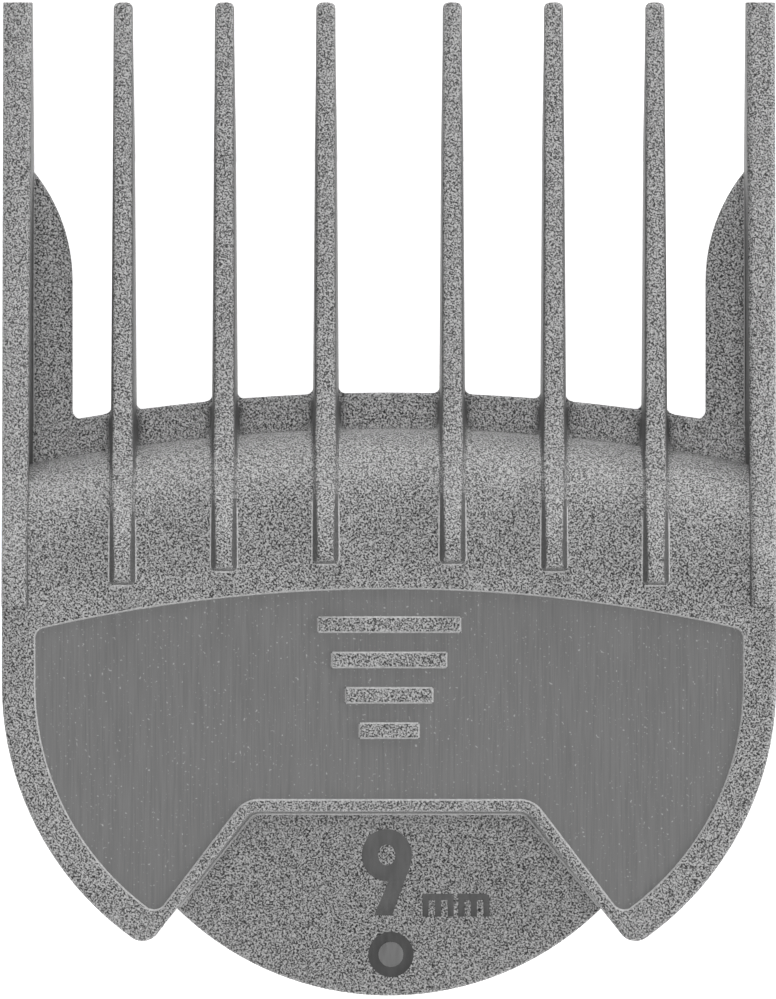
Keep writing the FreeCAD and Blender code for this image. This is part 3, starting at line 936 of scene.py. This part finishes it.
def ellipse_prism(bm, centre, half_x, half_y, low_z, high_z, segments=64):
    made = bmesh.ops.create_cone(
        bm, cap_ends=True, segments=segments, radius1=1, radius2=1, depth=1,
        matrix=Matrix.Translation((centre[0], centre[1], (low_z + high_z) / 2))
        @ Matrix.Diagonal((half_x, half_y, high_z - low_z, 1)),
    )
    return made["verts"]


def take_away(piece, cutter):
    """Cuts one solid out of another and removes the cutter."""
    cutter_mesh = cutter.data
    modifier = piece.modifiers.new("mark", "BOOLEAN")
    modifier.operation = "DIFFERENCE"
    modifier.solver = "EXACT"
    modifier.object = cutter
    result = bpy.data.meshes.new_from_object(
        piece.evaluated_get(bpy.context.evaluated_depsgraph_get())
    )
    piece.modifiers.remove(modifier)
    old = piece.data
    piece.data = result
    bpy.data.meshes.remove(old)
    bpy.data.objects.remove(cutter)
    bpy.data.meshes.remove(cutter_mesh)


def ring_cutter(centre, outer, inner, name):
    """A ring-shaped cutter: an outer solid with an inner one taken out of it."""
    bm = bmesh.new()
    ellipse_prism(bm, centre, *outer, mark_floor_z, mark_top)
    ring = scratch_object(bm, name)
    hole = bmesh.new()
    ellipse_prism(hole, centre, *inner, mark_floor_z - 1, mark_top + 1)
    take_away(ring, scratch_object(hole, f"{name}_hole"))
    return ring


def bar_cutter(corners, name):
    bm = bmesh.new()
    prism(bm, corners, mark_floor_z, mark_top)
    bmesh.ops.recalc_face_normals(bm, faces=bm.faces)
    return scratch_object(bm, name)


# %% Cut the figure, the unit and the ring
tab_bm = region_copy("number_tab")
bevel(tab_bm, free_edges(tab_bm, neighbours_of("number_tab")), EDGE_ROUND)
tab = scratch_object(tab_bm, "number_tab_draft")

FIGURE_X, FIGURE_TOP, FIGURE_FOOT = -0.15, -21.55, -27.2
RING_X, RING_Y = 0.12, -29.75
bowl = (FIGURE_X, FIGURE_TOP - 1.70)
take_away(tab, ring_cutter(bowl, (1.64, 1.70), (0.56, 0.68), "bowl"))
leg = [(0.52, bowl[1] - 0.4), (-0.98, FIGURE_FOOT), (0.20, FIGURE_FOOT), (1.44, bowl[1] - 0.55)]
take_away(tab, bar_cutter(leg, "leg"))
take_away(tab, ring_cutter((RING_X, RING_Y), (1.48, 1.48), (0.82, 0.82), "ring"))

UNIT_LEFT, UNIT_FOOT, UNIT_TALL, UNIT_WIDE = 2.18, -27.28, 1.5, 2.05
STEM, ARCH = 0.40, 0.42
CUT_ACROSS, CUT_DOWN = 0.2, 0.18
LETTER_GAP = 0.29
unit_top = UNIT_FOOT + UNIT_TALL
for letter in range(2):
    left = UNIT_LEFT + letter * (UNIT_WIDE + LETTER_GAP)
    right = left + UNIT_WIDE
    for stem in range(3):
        x = left + stem * (UNIT_WIDE - STEM) / 2
        stem_top = unit_top - CUT_ACROSS
        corners = [(x, UNIT_FOOT), (x + STEM, UNIT_FOOT), (x + STEM, stem_top), (x, stem_top)]
        take_away(tab, bar_cutter(corners, "stem"))
    low_y, cut_y = unit_top - ARCH, unit_top - CUT_DOWN
    arch = [(left, low_y), (right, low_y), (right, cut_y)]
    arch += [(right - CUT_ACROSS, unit_top), (left, unit_top)]
    take_away(tab, bar_cutter(arch, "arch"))

# %% Soften and paint the marks
MARK_EDGE = 0.06
RING_BELOW = -28
DISC_REACH = 0.6
tab_final = bmesh.new()
tab_final.from_mesh(tab.data)
bpy.data.objects.remove(tab)
for face in tab_final.faces:
    face.material_index = 0
tab_final.normal_update()


def is_mark_side(face):
    """True on the short upright sides of the marks."""
    drop = abs(face.calc_center_median().z - tab_high.z)
    return abs(face.normal.z) < 0.3 and drop < MARK_DEPTH * 0.6


def on_level(place, level):
    return abs(place.z - level) < 0.02


mark_edges = [
    edge for edge in tab_final.edges
    if all(abs(vert.co.z - tab_high.z) < 0.01 for vert in edge.verts)
    and any(is_mark_side(face) for face in edge.link_faces)
]
bevel(tab_final, mark_edges, MARK_EDGE, 1)
paint(tab_final, 1, lambda place: on_level(place, mark_floor_z) and place.y > RING_BELOW)
paint(tab_final, 2, lambda place: on_level(place, mark_floor_z) and place.y < RING_BELOW)
ring_centre = Vector((RING_X, RING_Y))
paint(tab_final, 3, lambda place: on_level(place, tab_high.z)
      and (place.xy - ring_centre).length < DISC_REACH)
tab_materials = [NYLON, NUMBER_FLOOR, RING_FLOOR, DISC_TOP]
finish_piece(tab_final, "number_tab_moulded", ["number_tab"], tab_materials)

# %% [markdown]
# ## Stage, light and camera
# The comb lies on a plain pale floor. Most light comes from straight above and reaches the band and
# the wings between the tall teeth. Light from the right and from beyond the tips shows the bends, and
# a weaker one behind the tab lights the rear wall. The camera looks straight down through a very
# long lens, which keeps the tall teeth from splaying.


# %% Floor
def floor():
    bm = bmesh.new()
    bmesh.ops.create_grid(bm, x_segments=2, y_segments=2, size=1.5)
    bmesh.ops.translate(bm, verts=bm.verts, vec=(0, 0, -0.0002))
    mesh = bpy.data.meshes.new("floor")
    bm.to_mesh(mesh)
    bm.free()
    material, nodes, links, shader, place = new_material("pale_floor", 0.8, 0.1)
    shader.inputs["Base Color"].default_value = (0.9, 0.9, 0.9, 1)
    shader.inputs["Emission Color"].default_value = (1, 1, 1, 1)
    shader.inputs["Emission Strength"].default_value = 0.6
    mesh.materials.append(material)
    thing = bpy.data.objects.new("floor", mesh)
    bpy.context.scene.collection.objects.link(thing)


floor()


# %% Lights
def soft_sun(name, azimuth, elevation, spread, strength):
    """Even light from one direction; a wide spread makes its shadows soft."""
    light = bpy.data.lights.new(name, "SUN")
    light.angle = math.radians(spread)
    light.energy = strength
    lamp = bpy.data.objects.new(name, light)
    turn, rise = math.radians(azimuth), math.radians(elevation)
    towards = Vector((math.cos(turn) * math.cos(rise), math.sin(turn) * math.cos(rise), math.sin(rise)))
    lamp.rotation_euler = (-towards).to_track_quat("-Z", "Y").to_euler()
    bpy.context.scene.collection.objects.link(lamp)
    return lamp


overhead = soft_sun("overhead", 90, 90, 12, 2.5)
# It shines along the camera's line, so it would otherwise glare on every flat face.
overhead.visible_glossy = False
soft_sun("from_the_right", 0, 20, 30, 1.2)
soft_sun("beyond_the_tips", 90, 15, 30, 1.5)
soft_sun("behind_the_tab", 268, 20, 30, 0.75)

world = bpy.data.worlds.new("studio")
world.use_nodes = True
world.node_tree.nodes["Background"].inputs["Color"].default_value = (1, 1, 1, 1)
world.node_tree.nodes["Background"].inputs["Strength"].default_value = 0.09
bpy.context.scene.world = world
bpy.context.scene.view_settings.view_transform = "Standard"

# %% Camera
LENS = 1250
SENSOR = 36
# FRAME_TALL is what the view holds from top to bottom, at the height LEVEL above the floor.
FRAME_TALL = 65.10 * MM
LEVEL = 0.014
ASIDE = -0.07 * MM
camera_data = bpy.data.cameras.new("camera")
camera_data.lens = LENS
camera_data.sensor_width = SENSOR
camera_data.clip_start, camera_data.clip_end = 0.1, 10
camera = bpy.data.objects.new("camera", camera_data)
camera.location = (ASIDE, 0, LEVEL + FRAME_TALL / 2 / (SENSOR / 2 / LENS))
bpy.context.scene.collection.objects.link(camera)
bpy.context.scene.camera = camera
